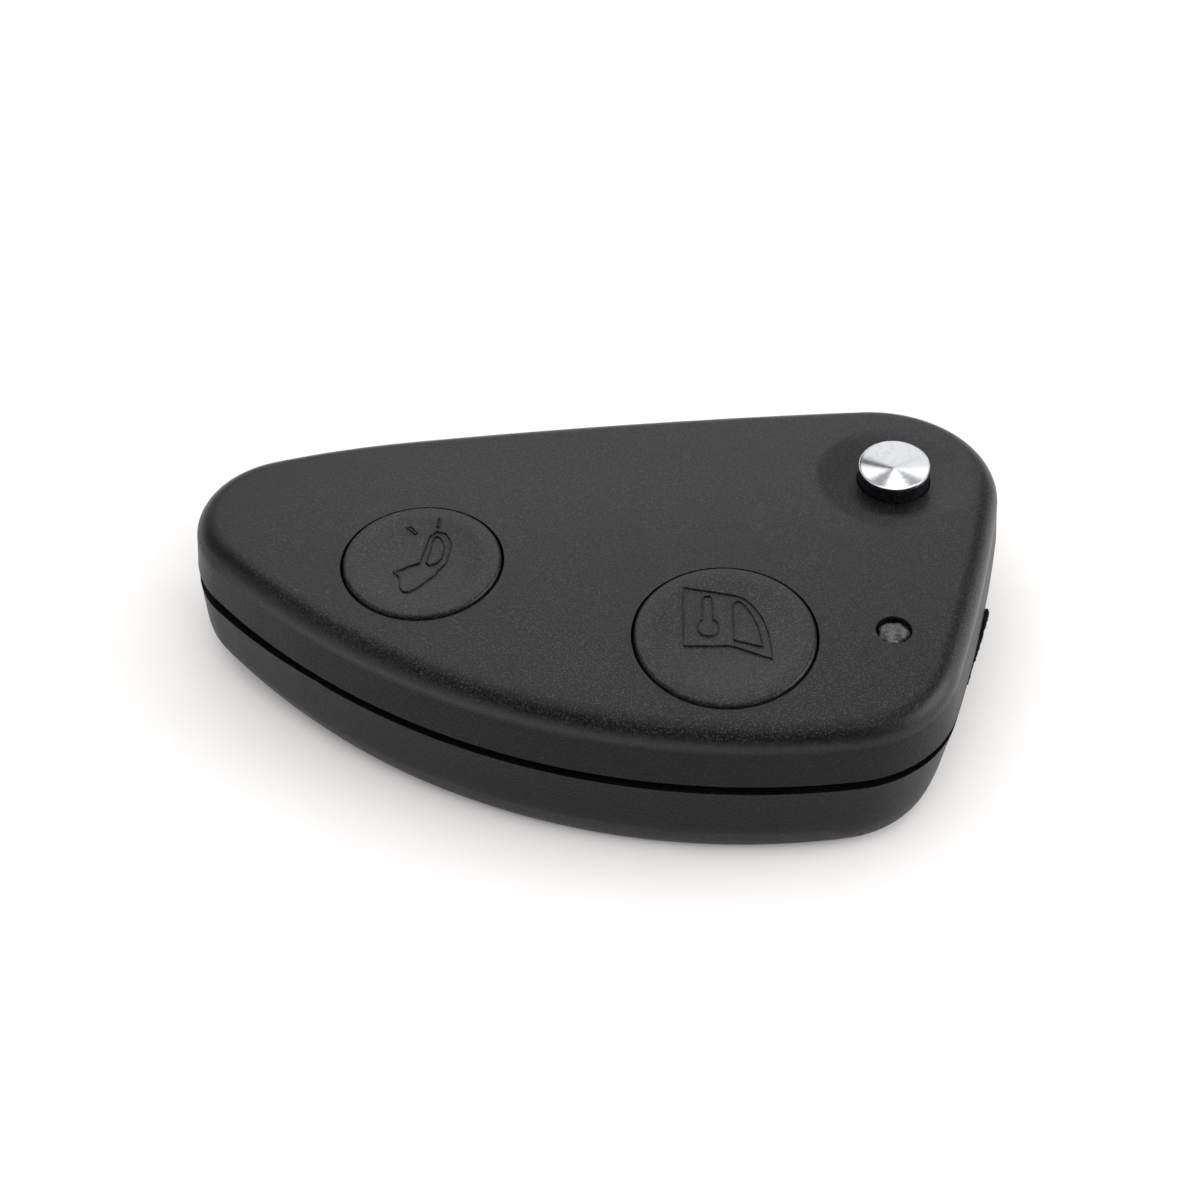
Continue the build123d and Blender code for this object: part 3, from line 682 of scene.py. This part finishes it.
# Release button: a black plastic plug with a flange, two keys and a spring stem,
# and a dished chrome disc pressed into its top.
cap_radius = 3.28
cap_top = 18.535
disc_side = 0.1
disc_step = 0.25
disc_seat = 0.5
disc_edge = 0.06
disc_edge_steps = 4
disc_rim = 0.04
disc_dish = 0.4
disc_curve = 1.25
disc_steps = 16
wall_gap = 0.03
plug_shade = 0.006
plug_roughness = 0.3
groove_width = 0.05 * MM
groove_height = 0.003 * MM
smudge_size = 0.5 * MM
smudge_range = (0.5, 0.75)
smudge_rough = 0.1
chrome_roughness = 0.11
clean_chrome = (0.57, 0.58, 0.6, 1)
smudged_chrome = (0.53, 0.54, 0.565, 1)

plug = node_copy("release_button", "release_plug")
bpy.ops.mesh.select_all(action="SELECT")
bpy.ops.mesh.bisect(plane_co=(0, 0, (cap_top - disc_side) * MM), plane_no=(0, 0, 1),
                    use_fill=True, clear_outer=True)
pick_end(plug, True)
bpy.ops.mesh.inset(thickness=(disc_step - wall_gap) * MM)
lift(-disc_seat)
plug_plastic = black_plastic("smooth black plastic", plug_shade, plug_roughness)
dress(smooth(plug), plug_plastic, "release")

disc = cylinder("release_disc", hub_place, cap_radius, cap_top - disc_side, cap_top)
open_piece(disc)
pick_end(disc, False)
bpy.ops.mesh.inset(thickness=disc_step * MM)
lift(wall_gap - disc_seat)
round_end(disc, True, disc_edge, disc_edge_steps)
pick_end(disc, True)
bpy.ops.mesh.inset(thickness=disc_rim * MM)
hollow = cap_radius - disc_edge - disc_rim
for step in range(disc_steps - 1):
    outer = 1 - step / disc_steps
    inner = 1 - (step + 1) / disc_steps
    drop = disc_dish * (outer ** disc_curve - inner ** disc_curve)
    bpy.ops.mesh.inset(thickness=hollow / disc_steps * MM, depth=-drop * MM)
chrome = Finish("spun chrome", Metallic=1.0)
grooves = chrome.node("ShaderNodeTexNoise", {"noise_dimensions": "1D"}, {
    "W": chrome.distance(hub_place), "Scale": 1 / groove_width, "Detail": 2.0})
smudge = chrome.step(chrome.noise(smudge_size, 3.0), *smudge_range)
chrome.colour(chrome.blend(smudge, clean_chrome, smudged_chrome))
chrome.roughness(chrome_roughness + smudge_rough * smudge)
chrome.bump(Value(chrome, grooves.outputs[0]), groove_height)
dress(smooth(disc), chrome.material, "release")
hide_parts("release_button")

# Indicator light: a low clear lens sunk in its hole, with the grey of the die and
# its frame under it, on two tinned wires.
led_place = (24.36, -9.73)
led_radius = 1.5
led_dome = 0.45
led_dome_steps = 8
led_base = 10.7
led_flange = 0.3
led_flange_height = 0.8
led_sink = 0.28
mottle_size = 0.4 * MM
mottle_range = (0.36, 0.64)
mottle_share = 0.7
mottle_rough = 0.2
mottle_height = 0.02 * MM
fleck_size = 0.25 * MM
fleck_range = (0.58, 0.7)
fleck_share = 0.5
resin_roughness = 0.2
resin_dark = (0.004, 0.004, 0.004, 1)
resin_pale = (0.1, 0.1, 0.104, 1)

lens_top = crown_level(led_place[0], led_place[1]) - led_sink
light = cylinder("indicator_light", led_place, led_radius + led_flange, led_base,
                 led_base + led_flange_height)
open_piece(light)
pick_end(light, True)
bpy.ops.mesh.inset(thickness=led_flange * MM)
lift(lens_top - led_base - led_flange_height)
round_end(light, True, led_dome, led_dome_steps)
resin = Finish("clear resin over the die", Specular_IOR_Level=0.4)
mottle = resin.step(resin.noise(mottle_size, 4.0), *mottle_range)
fleck = resin.step(resin.noise(fleck_size, 1.0), *fleck_range)
resin.colour(resin.blend(mottle_share * mottle + fleck_share * fleck, resin_dark, resin_pale))
resin.roughness(resin_roughness + mottle_rough * mottle)
resin.bump(mottle, mottle_height)
dress(smooth(light), resin.material, "case")
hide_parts("led")

# Blade, hub and spring: the milled steel blade, its cast hub turned on two
# journals, the pin through both, a thrust washer and the flip spring, which gets
# shorter as the release button goes down.
marks_height = 0.006 * MM
marks_rough = 0.22
marks_share = 0.6
stain_size = 5 * MM
stain_rough = 0.12
metal_dark_tint = (0.72, 0.71, 0.7)
metal_tint = (1, 0.99, 0.97)


def brushed_metal(name, shade, rough, size, stretch=(1, 1, 1)):
    """Bare metal with fine marks, drawn out where the stretch is small."""
    finish = Finish(name, Metallic=1.0)
    marks = finish.noise(size, 4.0, stretch)
    stain = finish.noise(stain_size)
    dark = (*(shade * tint for tint in metal_dark_tint), 1)
    light = (*(shade * tint for tint in metal_tint), 1)
    finish.colour(finish.blend(marks_share * marks + (1 - marks_share) * stain, dark, light))
    unevenness = marks_rough * (marks - noise_middle) + stain_rough * (stain - noise_middle)
    finish.roughness(rough + unevenness)
    finish.bump(marks, marks_height)
    return finish.material


blade_steel = brushed_metal("milled steel", shade=0.62, rough=0.3, size=0.25 * MM,
                            stretch=(0.06, 1, 1))
hub_metal = brushed_metal("cast zinc", shade=0.5, rough=0.48, size=0.3 * MM)
spring_steel = brushed_metal("spring steel", shade=0.42, rough=0.34, size=0.2 * MM)
dress(smooth(node_copy("key_blade", "blade")), blade_steel, "blade")
dress(smooth(node_copy("blade_hub", "hub")), hub_metal, "blade")
dress(smooth(node_copy("blade_pin", "hub_pin")), blade_steel, "blade")
dress(smooth(node_copy("hub_washer", "thrust_washer")), spring_steel, "case")
spring = smooth(node_copy("flip_spring", "spring"))
dress(spring, spring_steel, "case")
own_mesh(spring)

# Circuit board: green laminate with copper tracks under the mask, and the chips,
# crystal, small passives, loop antenna, switches and light wires soldered to it.
moulded_rough = 0.15
moulded_grain = 1 / 6
moulded_grain_height = 0.008 * MM
track_pitch = 2.4 * MM
track_range = (0.05, 0.09)
track_height = 0.03 * MM
mask_green = (0.008, 0.075, 0.03, 1)
track_green = (0.03, 0.16, 0.06, 1)
mask_roughness = 0.36
mask_unevenness = 0.1
mask_cloud = 0.6 * MM


def moulded(name, dark, light, rough, size):
    """Dull moulded or fired material with a cloudy colour and a fine grain."""
    finish = Finish(name)
    cloud = finish.noise(size, 3.0)
    finish.colour(finish.blend(cloud, (*dark, 1), (*light, 1)))
    finish.roughness(rough + moulded_rough * (cloud - noise_middle))
    finish.bump(finish.noise(size * moulded_grain), moulded_grain_height)
    return finish.material


laminate = Finish("green laminate", Coat_Weight=0.4, Coat_Roughness=0.15)
track_cells = laminate.node("ShaderNodeTexVoronoi", {
    "feature": "DISTANCE_TO_EDGE", "distance": "EUCLIDEAN"}, {
    "Vector": laminate.place, "Scale": 1 / track_pitch})
track = 1 - laminate.step(Value(laminate, track_cells.outputs["Distance"]), *track_range)
laminate.colour(laminate.blend(track, mask_green, track_green))
laminate.roughness(mask_roughness + mask_unevenness * laminate.noise(mask_cloud))
laminate.bump(track, track_height)

chip_resin = moulded("chip resin", dark=(0.012, 0.012, 0.013), light=(0.03, 0.03, 0.032),
                     rough=0.55, size=1.2 * MM)
radio_resin = moulded("radio chip resin", dark=(0.014, 0.013, 0.013),
                      light=(0.035, 0.033, 0.033), rough=0.5, size=1.0 * MM)
crystal_can = brushed_metal("drawn nickel can", shade=0.66, rough=0.28, size=0.2 * MM)
ceramic = moulded("fired ceramic", dark=(0.2, 0.14, 0.09), light=(0.32, 0.25, 0.18),
                  rough=0.5, size=0.7 * MM)
tinned = brushed_metal("tinned wire", shade=0.68, rough=0.32, size=0.3 * MM)
switch_resin = moulded("switch resin", dark=(0.02, 0.02, 0.02), light=(0.05, 0.05, 0.05),
                       rough=0.45, size=1.4 * MM)
for node, material, slot in (
    ("circuit_board", laminate.material, "board_laminate"),
    ("microcontroller", chip_resin, "chip_resin"),
    ("radio_chip", radio_resin, "chip_resin"),
    ("crystal", crystal_can, "crystal_can"),
    ("passives", ceramic, "ceramic"),
    ("loop_antenna", tinned, "tinned_wire"),
    ("led_leads", tinned, "tinned_wire"),
    ("lock_switch", switch_resin, "switch_body"),
    ("trunk_switch", switch_resin, "switch_body"),
):
    dress(smooth(node_copy(node, node + "_piece")), material, "case")

plunger_resin = moulded("plunger resin", dark=(0.3, 0.28, 0.24), light=(0.42, 0.4, 0.35),
                        rough=0.4, size=0.8 * MM)
for node, body in (("lock_plunger", "lock_key"), ("trunk_plunger", "trunk_key")):
    dress(smooth(node_copy(node, node + "_piece")), plunger_resin, body)

# Coin cell with its two spring contacts, the glass transponder capsule in its
# cradle, and the screw that closes the case from below.
cell_steel = brushed_metal("cell steel", shade=0.66, rough=0.3, size=0.25 * MM,
                           stretch=(1, 0.1, 1))
contact_metal = brushed_metal("contact metal", shade=0.6, rough=0.3, size=0.2 * MM)
capsule_glass = moulded("capsule glass", dark=(0.05, 0.07, 0.06), light=(0.2, 0.24, 0.22),
                        rough=0.12, size=1.5 * MM)
screw_steel = brushed_metal("black screw steel", shade=0.16, rough=0.4, size=0.3 * MM)
for node, material, slot in (
    ("coin_cell", cell_steel, "cell_steel"),
    ("cell_contact_positive", contact_metal, "contact_metal"),
    ("cell_contact_negative", contact_metal, "contact_metal"),
    ("transponder_capsule", capsule_glass, "capsule_glass"),
    ("case_screw", screw_steel, "contact_metal"),
):
    dress(smooth(node_copy(node, node + "_piece")), material, "case")
